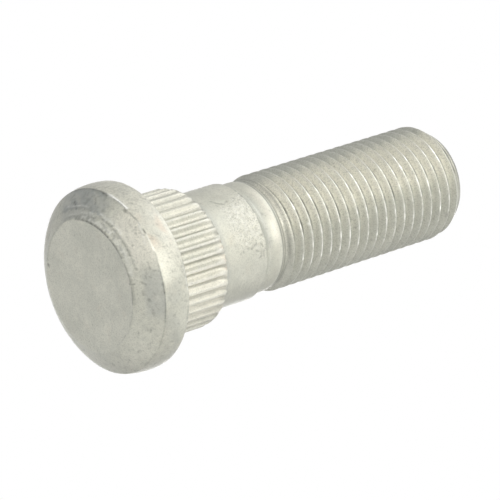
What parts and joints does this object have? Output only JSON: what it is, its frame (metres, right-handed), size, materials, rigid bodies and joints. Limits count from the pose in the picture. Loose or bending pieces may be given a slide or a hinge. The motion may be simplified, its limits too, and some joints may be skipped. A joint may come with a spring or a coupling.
{
  "type": "wheel stud",
  "caption": "Press-in wheel stud with a round flat-faced head, a straight knurl, a plain shank, a waisted neck and a rolled right-hand thread with a chamfered tip.",
  "frame": {"origin": "centre of the flat outer face of the head, which the stud stands on", "axes": "+Z along the stud's axis, from the head to the tip of the thread"},
  "size_m": [0.019, 0.019, 0.045],
  "materials": {
    "coated_steel": "pale matt zinc coating with a fine grain, scuffed on the edges of the head"
  },
  "bodies": {
    "root": {"stud": "coated_steel"}
  },
  "joints": []
}
